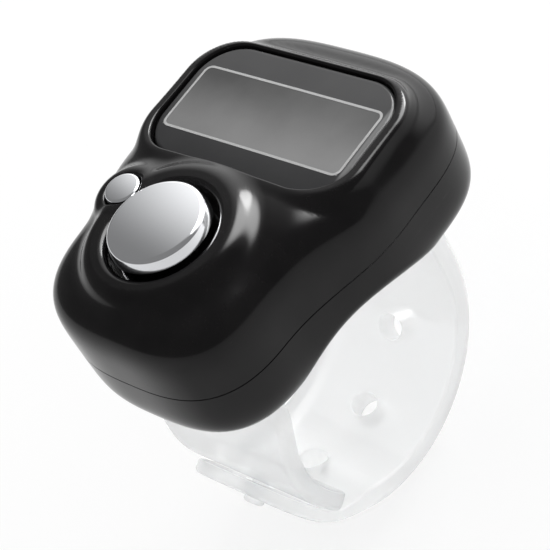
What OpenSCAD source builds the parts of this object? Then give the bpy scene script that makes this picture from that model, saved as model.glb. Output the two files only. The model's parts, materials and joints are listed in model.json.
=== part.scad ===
// Digital tally counter worn on a finger
// The origin is the centre of the finger loop, +X runs along the finger,
// +Y points to the display end and +Z points out of the display

/* [Housing] */
// Width of the display end
body_w = 27.6; // [27.2:0.2:32]
// Length of the display end
display_end_l = 20.5; // [20.3:0.1:24]
// Height of the display end
display_end_h = 13.2; // [13:0.1:14.5]
// Width of the button end
button_end_w = 22.2; // [21.8:0.2:26]
// Length of the button end
button_end_l = 20.6; // [20.2:0.2:24]
// Height of the button end
button_end_h = 14.6; // [14.4:0.1:16]
// Distance from the button axis to the middle of the display
end_spacing = 14.9; // [14.4:0.1:17]
// Width of the soft blend between the two ends
blend_w = 5.2; // [4:0.2:6]
// How square the display end is, seen from above
display_plan_power = 3.1; // [3:0.1:4]
// How square the display end is, seen from the side
display_side_power = 5.2; // [5:0.1:6]
// How square the button end is, seen from above
button_plan_power = 2.9; // [2.7:0.1:3.5]
// How square the button end is, seen from the side
button_side_power = 5.1; // [4.8:0.1:5.6]
// Thickness of the moulded walls
wall = 1.2; // [1:0.1:1.3]
// Height of the seam between the covers above the loop centre
seam_z = 16.3; // [16.1:0.05:16.5]
// Rounding of the edge of the finger arch
arch_round = 1.8; // [1:0.2:2.4]

/* [Window] */
// Width of the lens
lens_w = 23.6; // [23:0.2:25]
// Depth of the lens from front to back
lens_l = 13.3; // [12.6:0.1:14]
// Corner radius of the lens
lens_corner_r = 4.1; // [3:0.1:4.6]
// Thickness of the lens
lens_t = 1; // [0.8:0.1:1.1]
// Height of the top of the lens above the loop centre
lens_z = 23.1; // [23:0.05:23.3]
// Thickness of the sticky frame under the lens
gasket_t = 0.2; // [0.1:0.05:0.3]
// Thickness of the shelf that carries the lens
shelf_t = 0.9; // [0.7:0.05:0.95]
// Width of the printed outline
outline_w = 19.9; // [18:0.1:20.5]
// Depth of the printed outline
outline_l = 7.2; // [6:0.1:9]
// Width of the printed line
outline_line = 0.3; // [0.2:0.05:0.5]

/* [Display] */
// Width of the display glass
glass_w = 20.6; // [20.2:0.1:20.8]
// Depth of the front glass
glass_l = 10.4; // [10:0.1:10.6]
// Thickness of each sheet of glass
glass_t = 0.7; // [0.5:0.05:0.75]
// Depth of the contact ledge on the front glass
ledge_l = 1.8; // [1.6:0.1:2.2]
// Thickness of each polariser
polariser_t = 0.2; // [0.1:0.05:0.2]

/* [Board] */
// Height of the top of the board above the loop centre
board_z = 17.6; // [17.5:0.05:17.7]
// Thickness of the board
board_t = 0.8; // [0.6:0.05:0.9]
// Diameter of the button cell
cell_d = 11.6; // [9.5:0.1:11.8]
// Thickness of the button cell
cell_t = 3.05; // [2.6:0.05:3.1]

/* [Buttons] */
// Diameter of the count button
count_d = 9; // [8:0.1:9.2]
// Height of the face of the count button above the loop centre
count_z = 26.4; // [26.1:0.1:27.4]
// Travel of the count button
count_travel = 0.6; // [0.4:0.05:0.6]
// Diameter of the reset button
reset_d = 3.3; // [2.8:0.1:3.4]
// Height of the face of the reset button above the loop centre
reset_z = 25.2; // [24.9:0.1:26]
// Travel of the reset button
reset_travel = 0.5; // [0.3:0.05:0.5]
// Sideways distance from the count button to the reset button
reset_x = 6.75; // [6.7:0.05:7]
// Distance of the reset button behind the count button
reset_y = 2.55; // [2.5:0.05:2.8]
// Height of the rim of the count button's collar above the loop centre
collar_z = 24.95; // [24.8:0.05:25.4]
// Outer diameter of the count button's collar
collar_d = 14.7; // [14.2:0.1:15.2]

/* [Strap] */
// Inner radius of the finger loop
loop_r = 11.4; // [11:0.1:11.6]
// Width of the strap
strap_w = 16; // [12:0.5:16.4]
// Thickness of the rear strap
strap_t = 2.5; // [2.2:0.1:2.6]
// Thickness of the front strap
front_t = 1.8; // [1.5:0.1:1.9]
// Rounding of the outer edges of both straps
strap_round = 0.9; // [0.3:0.1:1.1]
// Width of the tail that lies over the front strap
tail_w = 14; // [9:0.5:14]
// Thickness of the tail
tail_t = 1.3; // [1.1:0.1:1.6]
// Diameter of the holes in the strap
hole_d = 2.7; // [2.6:0.1:3]
// Angle between neighbouring holes
hole_step_angle = 40; // [36:1:42]
// Diameter of the head of the stud
stud_d = 2; // [1.8:0.1:2]

/* [Hidden] */

// Facets of round parts and of the moulded skins
$fn = 64;
skin_around_count = 68;
skin_down_count = 36;
cavity_around_count = 36;
cavity_down_count = 18;

// Clearances
overrun = 0.5;
fit = 0.15;
slip = 0.1;
seat = 0.05;
thread_gap = 0.03;

// Places along Y
display_y = 8.2;
button_y = display_y - end_spacing;
display_end_shift = 0.95;
display_end_y = display_y + display_end_shift;

// Middle heights of the two ends, which carry the widest section
display_end_drop = 0.6;
button_end_rise = 0.1;
display_mid = seam_z - display_end_drop;
button_mid = seam_z + button_end_rise;
arch_gap = 0.5;
arch_r = loop_r + arch_gap;

// Point inside the housing that its skin is measured from
sight_shift = 4.2;
sight_rise = 0.7;
sight = [0, button_y + sight_shift, seam_z + sight_rise];
sight_step = wall / 2;
sight_limit = body_w * 2;
bisection_count = 14;

// Heights through the window
gasket_z = lens_z - lens_t;
shelf_z = gasket_z - gasket_t;
shelf_under = shelf_z - shelf_t;
lens_fit = 0.1;
lens_chamfer = 0.15;
shelf_side = 1.3;
shelf_end = 1.65;
opening_w = lens_w - 2 * shelf_side;
opening_l = lens_l - 2 * shelf_end;
opening_corner_r = 0.8;
outline_t = 0.03;
outline_corner_r = 0.35;
rim_w = 0.5;
rim_rise = 0.12;
rim_round = 0.45;
rim_blend = 1.6;

// Heights through the display, from the board up
frame_lip_t = 0.3;
frame_top = shelf_under - seat;
polariser_top = frame_top - frame_lip_t - seat;
front_glass_top = polariser_top - polariser_t;
rear_glass_top = front_glass_top - glass_t;
rear_polariser_top = rear_glass_top - glass_t;
stack_bottom = rear_polariser_top - polariser_t;
frame_wall = 0.5;
frame_rim = 0.5;
frame_lip_w = 0.8;
glass_shift = 0.4;
display_back = display_y + glass_l / 2 - glass_shift;
display_front = display_back - glass_l;
frame_w = glass_w + 2 * (slip + frame_wall);
frame_front = display_front - slip - frame_wall;
frame_back = display_back + slip + frame_wall;
rear_glass_l = glass_l - ledge_l;
rubber_w = ledge_l - 2 * fit;
rubber_end = 0.5;
polariser_inset = 0.3;

// Board
board_under = board_z - board_t;
board_edge_gap = 1;
board_display_w = body_w - 2 * (wall + board_edge_gap);
board_display_l = display_end_l - 2 * (wall + board_edge_gap);
board_display_corner = 5.5;
board_button_r = button_end_l / 2 - wall - board_edge_gap;
board_neck_w = button_end_w - 2 * (wall + 2 * board_edge_gap);
board_neck_l = 8;
blob_r = 2.8;
blob_h = 1.1;
blob_shift = 2.2;
blob_y = button_y + blob_shift;

// Count switch and its button
count_switch_w = 6;
count_switch_h = 2.4;
count_plunger_d = 3.4;
plunger_gap = 0.05;
plunger_floor = 0.3;
count_plunger_top = board_z + count_switch_h + count_travel;
web_t = 1;
web_z = 21.6;
web_gap = 0.1;
flange_t = 0.6;
count_flange_w = 0.4;
count_flange_r = count_d / 2 + count_flange_w;
count_foot_r = 1.8;
cap_wall = 0.9;
cap_round = 0.7;
cap_crown = 0.15;
well_gap = 0.6;
well_r = count_d / 2 + well_gap;
well_tube_r = well_r + wall;
collar_round = 0.75;
collar_flare = 1.3;

// Reset switch and its button
reset_switch_w = 3.6;
reset_switch_h = 2;
reset_plunger_d = 1.8;
reset_plunger_top = board_z + reset_switch_h + reset_travel;
reset_flange_w = 0.4;
reset_flange_r = reset_d / 2 + reset_flange_w;
reset_foot_r = 1.2;
reset_cap_round = 0.35;
reset_proud = 0.8;
reset_collar_z = reset_z - reset_proud;
reset_collar_w = 1.1;
reset_collar_r = reset_d / 2 + reset_collar_w;
reset_tube_w = 0.95;
reset_tube_r = reset_d / 2 + reset_tube_w;
reset_rim = 0.4;
reset_flare = 0.9;

// Button cell and its contacts
contact_t = 0.15;
contact_r = 2.6;
clip_t = 0.25;
clip_w = 4;
cell_top = board_under - contact_t;
cell_bottom = cell_top - cell_t;
cell_round = 0.3;
cell_y = display_y;

// Screws
screw_r = 0.7;
screw_head_r = 1.05;
screw_head_t = 0.7;
screw_slot_w = 0.3;
screw_slot_t = 0.3;
board_screw_x = 8.3;
board_screw_shift = 6.6;
board_screw_y = button_y + board_screw_shift;
board_screw_l = 3.4;
board_post_r = 1.6;
case_front_shift = 7.2;
case_rear_shift = 6.7;
case_screw_front = button_y - case_front_shift;
case_screw_rear = display_end_y + case_rear_shift;
case_screw_l = 5;
case_head_drop = 5.1;
case_head_z = seam_z - case_head_drop;
case_floor_t = 1.4;
case_post_r = 1.45;
case_boss_r = 1.55;

// Strap
strap_out = loop_r + strap_t;
front_out = loop_r + front_t;
rear_stem_angle = 3;
front_stem_angle = 148;
rear_stem_y = loop_r * cos(rear_stem_angle);
front_stem_y = -loop_r * cos(front_stem_angle);
strap_seat_drop = 4.7;
strap_seat_z = seam_z - strap_seat_drop;
hook_l = 0.9;
hook_t = 0.9;
seat_pad = 1.4;
slot_gap = 0.12;
first_hole_angle = -41;
climb_start_angle = -121;
tail_start_angle = -140;
front_end_angle = -143;
stud_angle = -155;
tail_l = 3;
tail_corner_r = 3;
stud_shank_r = 0.75;
stud_head_t = 0.6;
tail_in = front_out + fit;
tail_out = tail_in + tail_t;
arc_step_angle = 2;
root_share = 0.5;

// Colours
glossy_black = [0.05, 0.05, 0.055];
smoked = [0.14, 0.14, 0.15];
chrome = [0.82, 0.84, 0.86];
milky = [0.86, 0.9, 0.92, 0.7];
metal = [0.75, 0.74, 0.7];

// Shape of the moulded skin

// Distance-like value of a rounded block: below zero inside it
function block(p, c, r, plan, side) =
    let (x = abs(p[0] - c[0]) / r[0], y = abs(p[1] - c[1]) / r[1], z = abs(p[2] - c[2]) / r[2])
    (pow(pow(pow(x, plan) + pow(y, plan), side / plan) + pow(z, side), 1 / side) - 1) * min(r);

// Smaller of two values, blended over the width k
function soft_min(a, b, k) =
    let (h = max(0, min(1, 0.5 + (b - a) / k / 2))) b * (1 - h) + a * h - k * h * (1 - h);
function soft_max(a, b, k) = -soft_min(-a, -b, k);

// Distance to the inside of a corner of radius r
function corner(a, b, r) = min(max(a + r, b + r), 0) + norm([max(a + r, 0), max(b + r, 0)]) - r;

// Raised ground round the lens, open downwards as far as the seam
function window_rim(p) =
    let (side = corner(abs(p[0]) - lens_w / 2 - rim_w, abs(p[1] - display_y) - lens_l / 2 - rim_w,
        lens_corner_r + rim_w))
    max(corner(side, p[2] - lens_z - rim_rise, rim_round), seam_z - p[2]);

// The two ends and the window rim blended together, with the finger arch taken out below,
// all drawn in by a depth
function housing(p, depth) =
    let (
        inset = [depth, depth, depth],
        display_end = block(p, [0, display_end_y, display_mid],
            [body_w, display_end_l, display_end_h] / 2 - inset, display_plan_power, display_side_power),
        button_end = block(p, [0, button_y, button_mid],
            [button_end_w, button_end_l, button_end_h] / 2 - inset, button_plan_power, button_side_power),
        ends = soft_min(display_end, button_end, blend_w)
    )
    soft_max(soft_min(ends, window_rim(p) + depth, rim_blend), arch_r + depth - norm([p[1], p[2]]), arch_round);

// Distance from the sight point to the skin along one direction, at one depth below the skin
function narrow(d, depth, low, high, left) =
    let (mid = (low + high) / 2)
    left == 0 ? mid
    : housing(sight + mid * d, depth) > 0 ? narrow(d, depth, low, mid, left - 1)
    : narrow(d, depth, mid, high, left - 1);
function march(d, depth, t) =
    t > sight_limit || housing(sight + t * d, depth) > 0 ? t : march(d, depth, t + sight_step);
function reach(d, depth) = let (t = march(d, depth, sight_step)) narrow(d, depth, t - sight_step, t, bisection_count);

// Closed skin at one depth, as rings of points seen from the sight point
module skin(depth, around, down) {
    rings = [for (j = [1:down - 1], i = [0:around - 1])
        let (f = 180 * j / down, a = 360 * i / around) [sin(f) * cos(a), sin(f) * sin(a), cos(f)]];
    points = concat(
        [sight + [0, 0, reach([0, 0, 1], depth)]],
        [for (d = rings) sight + reach(d, depth) * d],
        [sight - [0, 0, reach([0, 0, -1], depth)]]);
    last = len(points) - 1;
    faces = concat(
        [for (i = [0:around - 1]) [0, 1 + (i + 1) % around, 1 + i]],
        [for (j = [0:down - 3], i = [0:around - 1])
            let (a = 1 + j * around + i, b = 1 + j * around + (i + 1) % around)
            each [[a, b, b + around], [a, b + around, a + around]]],
        [for (i = [0:around - 1])
            let (a = 1 + (down - 2) * around)
            [last, a + i, a + (i + 1) % around]]);
    polyhedron(points, faces);
}

// Shared shapes

// Rectangle with round corners, centred
module round_rect(w, l, r) {
    hull() for (x = [-1, 1], y = [-1, 1]) translate([x * (w / 2 - r), y * (l / 2 - r)]) circle(r);
}

// Plate with its underside at z
module plate(w, l, t, z, r) {
    translate([0, 0, z]) linear_extrude(t) round_rect(w, l, r);
}

// Box centred on X that runs from y0 to y1 and z0 to z1
module bar(w, y0, y1, z0, z1) {
    translate([-w / 2, y0, z0]) cube([w, y1 - y0, z1 - z0]);
}

// Rod with its foot at a place
module rod(r, h, at) {
    translate(at) cylinder(r = r, h = h);
}

// Round cap with a crowned face and a rounded edge, its face at z = 0
module cap_body(r, round, crown, h) {
    rotate_extrude() polygon(concat(
        [[0, -h], [r, -h]],
        [for (a = [0:15:75]) [r - round + round * cos(a), -crown - round + round * sin(a)]],
        [[r - round, -crown], [r / 2, -crown / 4], [0, 0]]));
}

// Collar with a rounded rim and a flared foot, its rim at z = 0
module collar(inner, outer, rim, flare, depth) {
    rotate_extrude() polygon(concat(
        [[inner, -depth], [inner, -rim]],
        [for (a = [150:-30:90]) [inner + rim + rim * cos(a), -rim + rim * sin(a)]],
        [for (a = [90:-30:0]) [outer - rim + rim * cos(a), -rim + rim * sin(a)]],
        [for (a = [180:15:255]) [outer + flare + flare * cos(a), -rim - flare / 4 + flare * sin(a)]],
        [[outer + flare, -depth]]));
}

// Low collar with a bevelled rim and a flared foot, solid to its axis, its rim at z = 0
module low_collar(outer, rim, flare, depth) {
    bevel = rim / 3;
    rotate_extrude() polygon([
        [0, -depth], [0, 0], [outer - rim, 0], [outer - bevel, -bevel], [outer, -rim], [outer, -2 * rim],
        [outer + flare / 3, flare / 2 - depth], [outer + flare, flare / 8 - depth], [outer + flare, -depth]]);
}

// Cross-head screw pointing up, the underside of its head at z = 0
module screw(length) {
    difference() {
        union() {
            translate([0, 0, -screw_head_t]) cylinder(r = screw_head_r, h = screw_head_t);
            cylinder(r = screw_r, h = length);
        }
        for (a = [0, 90]) rotate(a)
            translate([-screw_head_r + screw_slot_w, -screw_slot_w / 2, -screw_head_t - overrun])
                cube([2 * (screw_head_r - screw_slot_w), screw_slot_w, screw_slot_t + overrun]);
    }
}

// Places of the repeated parts
module at_count() { translate([0, button_y, 0]) children(); }
module at_reset() { translate([-reset_x, button_y + reset_y, 0]) children(); }
module at_board_screws() { for (x = [-1, 1]) translate([x * board_screw_x, board_screw_y, 0]) children(); }
module at_case_screws() { for (y = [case_screw_front, case_screw_rear]) translate([0, y, 0]) children(); }
module at_display(y = 0) { translate([0, display_y + y, 0]) children(); }

// Covers

// Everything inside the top cover's cavity that is solid
module top_bosses() {
    roof = display_end_h;
    at_display() plate(lens_w + 2 * rim_w, lens_l + 2 * rim_w, roof, shelf_under, lens_corner_r + rim_w);
    at_count() rod(well_tube_r, roof, [0, 0, web_z]);
    at_reset() rod(reset_tube_r, roof, [0, 0, web_z]);
    difference() {
        union() {
            at_board_screws() rod(board_post_r, roof, [0, 0, board_z]);
            at_case_screws() rod(case_post_r, roof, [0, 0, seam_z - overrun]);
        }
        at_count() rod(count_flange_r + 2 * fit, web_z, [0, 0, 0]);
    }
}

module top_cover() {
    post_foot = case_head_z + case_floor_t + seat;
    color(glossy_black) difference() {
        union() {
            difference() {
                skin(0, skin_around_count, skin_down_count);
                difference() {
                    union() {
                        skin(wall, cavity_around_count, cavity_down_count);
                        bar(frame_w + 2 * fit, frame_front - fit, frame_back + fit, seam_z, shelf_under);
                    }
                    top_bosses();
                }
                translate([-body_w, -body_w, seam_z - body_w]) cube([2 * body_w, 2 * body_w, body_w]);
            }
            at_count() translate([0, 0, collar_z])
                collar(well_r, collar_d / 2, collar_round, collar_flare, collar_z - web_z - web_t);
            at_reset() translate([0, 0, reset_collar_z])
                low_collar(reset_collar_r, reset_rim, reset_flare, reset_collar_z - web_z - web_t);
            at_case_screws() rod(case_post_r, seam_z - post_foot + overrun, [0, 0, post_foot]);
        }
        at_display() {
            plate(lens_w + 2 * lens_fit, lens_l + 2 * lens_fit, display_end_h, shelf_z, lens_corner_r);
            plate(opening_w, opening_l, display_end_h, shelf_under - overrun, opening_corner_r);
        }
        at_count() {
            rod(count_d / 2 + fit, count_z, [0, 0, web_z - overrun]);
            rod(well_r, count_z, [0, 0, web_z + web_t]);
        }
        at_reset() {
            rod(reset_d / 2 + fit, reset_z, [0, 0, web_z - overrun]);
            rod(reset_flange_r + 2 * fit, web_z - seam_z, [0, 0, seam_z]);
        }
        at_board_screws() rod(screw_r + thread_gap, board_screw_l, [0, 0, board_z - overrun]);
        at_case_screws() rod(screw_r + thread_gap, case_screw_l + seat, [0, 0, case_head_z]);
    }
}

// Slot that a strap end passes through
module strap_slot(y, thick) {
    bar(strap_w + 2 * slot_gap, y - slot_gap, y + thick + slot_gap, 0, strap_seat_z + overrun);
}

// Block inside the cover round the slot, whose top carries the hook
module strap_seat(y, thick) {
    bar(strap_w + 2 * seat_pad, y - seat_pad, y + thick + seat_pad, 0, strap_seat_z);
}

module bottom_cover() {
    color(glossy_black) difference() {
        skin(0, skin_around_count, skin_down_count);
        difference() {
            skin(wall, cavity_around_count, cavity_down_count);
            at_case_screws() rod(case_boss_r, case_head_z + case_floor_t, [0, 0, 0]);
            strap_seat(rear_stem_y, strap_t);
            mirror([0, 1, 0]) strap_seat(front_stem_y, front_t);
        }
        translate([-body_w, -body_w, seam_z]) cube([2 * body_w, 2 * body_w, body_w]);
        strap_slot(rear_stem_y, strap_t);
        mirror([0, 1, 0]) strap_slot(front_stem_y, front_t);
        at_case_screws() {
            rod(screw_head_r + slip, case_head_z, [0, 0, 0]);
            rod(screw_r + slip, case_floor_t + overrun, [0, 0, case_head_z - overrun]);
            rod(case_post_r + slip, seam_z, [0, 0, case_head_z + case_floor_t]);
        }
    }
}

// Window

module lens() {
    color(smoked) at_display() {
        plate(lens_w, lens_l, lens_t - lens_chamfer, gasket_z, lens_corner_r - lens_fit);
        plate(lens_w - 2 * lens_chamfer, lens_l - 2 * lens_chamfer, lens_chamfer, lens_z - lens_chamfer,
            lens_corner_r - lens_fit - lens_chamfer);
    }
}

module lens_outline() {
    color("white") at_display() translate([0, 0, lens_z]) linear_extrude(outline_t) difference() {
        round_rect(outline_w, outline_l, outline_corner_r);
        square([outline_w - 2 * outline_line, outline_l - 2 * outline_line], center = true);
    }
}

module lens_gasket() {
    color("dimgray") at_display() difference() {
        plate(lens_w - 2 * slip, lens_l - 2 * slip, gasket_t, shelf_z, lens_corner_r - lens_fit);
        plate(opening_w + slip, opening_l + slip, gasket_t + 2 * overrun, shelf_z - overrun, opening_corner_r);
    }
}

// Display

module display_front_glass() {
    color("lightblue") bar(glass_w, display_front, display_back, rear_glass_top, front_glass_top);
}

module display_rear_glass() {
    color("lightsteelblue") bar(glass_w, display_back - rear_glass_l, display_back, rear_polariser_top, rear_glass_top);
}

module front_polariser() {
    color("darkslategray") bar(glass_w - 2 * polariser_inset, display_back - rear_glass_l + polariser_inset,
        display_back - polariser_inset, front_glass_top, polariser_top);
}

module rear_polariser() {
    color("silver") bar(glass_w - 2 * polariser_inset, display_back - rear_glass_l + polariser_inset,
        display_back - polariser_inset, stack_bottom, rear_polariser_top);
}

// Moulded frame that clips the glass to the board
module display_frame() {
    color("whitesmoke") difference() {
        bar(frame_w, frame_front, frame_back, board_z, frame_top);
        bar(glass_w + 2 * slip, display_front - slip, display_back + slip, stack_bottom - slip, polariser_top + seat);
        bar(glass_w - 2 * frame_lip_w, display_front + frame_lip_w, display_back - frame_lip_w, board_z,
            frame_top + overrun);
        bar(glass_w - 2 * frame_rim, display_front + frame_rim, display_back - rear_glass_l + frame_rim,
            board_z - overrun, stack_bottom);
        bar(glass_w - 2 * frame_rim, display_back - rear_glass_l + frame_rim, display_back - frame_rim,
            board_z - overrun, stack_bottom);
        bar(glass_w - 2 * frame_rim, display_front - slip, display_front + ledge_l, board_z - overrun, stack_bottom);
    }
}

module rubber_connector() {
    color("hotpink") bar(glass_w - 2 * (frame_rim + rubber_end), display_front + fit,
        display_front + fit + rubber_w, board_z, rear_glass_top);
}

// Board

module board_outline() {
    translate([0, display_end_y]) round_rect(board_display_w, board_display_l, board_display_corner);
    translate([0, button_y]) circle(board_button_r);
    translate([-board_neck_w / 2, board_screw_y - board_neck_l / 2]) square([board_neck_w, board_neck_l]);
}

module circuit_board() {
    color("darkgreen") difference() {
        translate([0, 0, board_under]) linear_extrude(board_t) board_outline();
        at_board_screws() rod(screw_r + slip, board_t + 2 * overrun, [0, 0, board_under - overrun]);
        at_case_screws() rod(case_post_r + fit, board_t + 2 * overrun, [0, 0, board_under - overrun]);
    }
}

module chip_blob() {
    color("black") translate([0, blob_y, board_under]) mirror([0, 0, 1]) rotate_extrude()
        polygon(concat([[0, 0]], [for (a = [0:10:90]) [blob_r * cos(a), blob_h * sin(a)]]));
}

// Small chips and the crystal can on the underside
module board_parts() {
    chip = [1.6, 0.8, 0.5];
    crystal_r = 0.75;
    crystal_l = 4;
    color("tan") {
        for (i = [0:3]) translate([(i - 2) * 2 * chip[0] + chip[0] / 2, blob_y - 2 * blob_r, board_under - chip[2]])
            cube(chip);
        for (x = [-1, 1]) translate([x * 2 * blob_r - chip[1] / 2, blob_y - chip[0] / 2, board_under - chip[2]])
            cube([chip[1], chip[0], chip[2]]);
        translate([-crystal_l / 2, blob_y - blob_r - crystal_r - 2 * fit, board_under - crystal_r]) rotate([0, 90, 0])
            cylinder(r = crystal_r, h = crystal_l);
    }
}

// Push switch: a square body with a round well for its plunger
module switch_body(w, h, plunger_d, at_z) {
    difference() {
        bar(w, -w / 2, w / 2, at_z, at_z + h);
        rod(plunger_d / 2 + plunger_gap, h, [0, 0, at_z + plunger_floor]);
    }
}

module count_switch() {
    color("gray") at_count() switch_body(count_switch_w, count_switch_h, count_plunger_d, board_z);
}

module count_plunger() {
    foot = board_z + plunger_floor + count_travel + seat;
    color("white") at_count() rod(count_plunger_d / 2, count_plunger_top - foot, [0, 0, foot]);
}

module reset_switch() {
    color("gray") at_reset() switch_body(reset_switch_w, reset_switch_h, reset_plunger_d, board_z);
}

module reset_plunger() {
    foot = board_z + plunger_floor + reset_travel + seat;
    color("white") at_reset() rod(reset_plunger_d / 2, reset_plunger_top - foot, [0, 0, foot]);
}

// Power

module button_cell() {
    color(metal) translate([0, cell_y, cell_bottom]) rotate_extrude() polygon([
        [0, 0], [cell_d / 2 - cell_round, 0], [cell_d / 2, cell_round], [cell_d / 2, cell_t - 2 * cell_round],
        [cell_d / 2 - 2 * cell_round, cell_t - cell_round], [cell_d / 2 - 3 * cell_round, cell_t], [0, cell_t]]);
}

// Bent strip under the cell with a leg at each side, soldered to the board
module battery_positive_clip() {
    inner = cell_d + 2 * slip;
    color("gold") difference() {
        bar(inner + 2 * clip_t, cell_y - clip_w / 2, cell_y + clip_w / 2, cell_bottom - clip_t, board_under);
        bar(inner, cell_y - clip_w, cell_y + clip_w, cell_bottom, board_under + overrun);
    }
}

module battery_negative_contact() {
    color("gold") rod(contact_r, contact_t, [0, cell_y, cell_top]);
}

// Fasteners

module board_screws() {
    color(metal) at_board_screws() translate([0, 0, board_under]) screw(board_screw_l);
}

module case_screws() {
    color(metal) at_case_screws() translate([0, 0, case_head_z]) screw(case_screw_l);
}

// Buttons

module count_button() {
    h = count_z - web_z + web_gap;
    foot = count_plunger_top + plunger_gap;
    flange_z = web_z - web_gap - flange_t;
    color(chrome) at_count() {
        difference() {
            union() {
                translate([0, 0, count_z]) cap_body(count_d / 2, cap_round, cap_crown, h + flange_t);
                rod(count_flange_r, flange_t, [0, 0, flange_z]);
            }
            rod(count_d / 2 - cap_wall, count_z - cap_wall - cap_crown - flange_z + overrun,
                [0, 0, flange_z - overrun]);
        }
        rod(count_foot_r, count_z - cap_wall - foot, [0, 0, foot]);
    }
}

module reset_button() {
    h = reset_z - web_z + web_gap;
    foot = reset_plunger_top + plunger_gap;
    flange_z = web_z - web_gap - flange_t;
    color(chrome) at_reset() {
        translate([0, 0, reset_z]) cap_body(reset_d / 2, reset_cap_round, cap_crown / 2, h);
        rod(reset_flange_r, flange_t, [0, 0, flange_z]);
        rod(reset_foot_r, web_z - foot, [0, 0, foot]);
    }
}

// Strap

// Turns a shape drawn in the Y-Z plane, such as [y, z] points, into a band of a width along X
module across(w) {
    translate([-w / 2, 0, 0]) rotate([90, 0, 90]) linear_extrude(w) children();
}

// Wedge of the Y-Z plane between two angles, reaching past the strap
module wedge(from, to) {
    far = 2 * strap_out;
    polygon(concat([[0, 0]], [for (i = [0:8]) let (a = from + (to - from) * i / 8) far * [cos(a), sin(a)]]));
}

// Section of a strap: X is the depth from its inner face, with the two outer corners rounded
module strap_section(thick) {
    flat = strap_w / 2 - strap_round;
    polygon(concat(
        [[0, -strap_w / 2]],
        [for (a = [-90:15:0]) [thick - strap_round + strap_round * cos(a), strap_round * sin(a) - flat]],
        [for (a = [0:15:90]) [thick - strap_round + strap_round * cos(a), strap_round * sin(a) + flat]],
        [[0, strap_w / 2]]));
}

module loop_band(thick, from, to) {
    intersection() {
        rotate([0, 90, 0]) rotate_extrude() translate([loop_r, 0]) strap_section(thick);
        across(strap_w + overrun) wedge(from, to);
    }
}

// Straight end of a strap with the hook that holds it inside the bottom cover
module strap_stem(y, thick, low) {
    translate([0, y, low]) linear_extrude(strap_seat_z + hook_t - low) rotate(90) strap_section(thick);
    bar(strap_w, y - hook_l, y + thick - strap_round, strap_seat_z, strap_seat_z + hook_t);
}

// Round hole through the strap at an angle round the loop
module strap_hole(a) {
    rotate([a - 90, 0, 0]) cylinder(r = hole_d / 2, h = 2 * strap_out);
}

// Outer radius of the root of the tail at an angle, which rises to lie over the front strap
function root_out(a) =
    let (t = max(0, min(1, (a - climb_start_angle) / (tail_start_angle - climb_start_angle))))
    strap_out + (tail_out - strap_out) * t * t * (3 - 2 * t);

function angles_between(from, to) =
    let (steps = ceil(abs(to - from) / arc_step_angle)) [for (i = [0:steps]) from + (to - from) * i / steps];

// Direction of an angle from the loop centre, and the way along the loop there
function away(a) = [cos(a), sin(a)];
function along(a) = [sin(a), -cos(a)];

module rear_strap() {
    climb = angles_between(climb_start_angle, tail_start_angle);
    last = len(climb) - 1;
    color(milky) difference() {
        union() {
            loop_band(strap_t, tail_start_angle, rear_stem_angle);
            across(tail_w) polygon(concat(
                [for (a = climb) (loop_r + root_share * strap_t) * away(a)],
                [for (i = [last:-1:0]) root_out(climb[i]) * away(climb[i])]));
            strap_stem(rear_stem_y, strap_t, loop_r * sin(rear_stem_angle));
        }
        for (i = [0:2]) strap_hole(first_hole_angle - i * hole_step_angle);
    }
}

// Free end of the rear strap: it curves as far as the stud and is straight beyond it
module strap_tail() {
    bend = angles_between(tail_start_angle, stud_angle);
    last = len(bend) - 1;
    color(milky) difference() {
        intersection() {
            across(tail_w) polygon(concat(
                [for (a = bend) tail_in * away(a)],
                [for (r = [tail_in, tail_out]) r * away(stud_angle) + tail_l * along(stud_angle)],
                [for (i = [last:-1:0]) tail_out * away(bend[i])]));
            rotate([stud_angle - 90, 0, 0]) linear_extrude(2 * tail_out) tail_outline();
        }
        strap_hole(stud_angle);
    }
}

// Outline of the tail seen along the stud, with round corners at its free end
module tail_outline() {
    hull() {
        for (x = [-1, 1]) translate([x * (tail_w / 2 - tail_corner_r), tail_l - tail_corner_r]) circle(tail_corner_r);
        translate([-tail_w / 2, -strap_out]) square([tail_w, strap_out / 2]);
    }
}

module front_strap() {
    color(milky) {
        loop_band(front_t, front_stem_angle, 360 + front_end_angle);
        mirror([0, 1, 0]) strap_stem(front_stem_y, front_t, loop_r * sin(front_stem_angle));
        rotate([stud_angle - 90, 0, 0]) {
            rod(stud_shank_r, tail_out + slip - front_out + fit, [0, 0, front_out - fit]);
            rod(stud_d / 2, stud_head_t, [0, 0, tail_out + slip]);
        }
    }
}

top_cover();
bottom_cover();
lens();
lens_outline();
lens_gasket();
display_front_glass();
display_rear_glass();
front_polariser();
rear_polariser();
display_frame();
rubber_connector();
circuit_board();
chip_blob();
board_parts();
count_switch();
count_plunger();
reset_switch();
reset_plunger();
button_cell();
battery_positive_clip();
battery_negative_contact();
board_screws();
case_screws();
count_button();
reset_button();
rear_strap();
strap_tail();
front_strap();
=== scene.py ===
import json
import math

import bpy
import numpy as np
from mathutils import Matrix, Vector, kdtree
from mathutils.geometry import delaunay_2d_cdt


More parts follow.
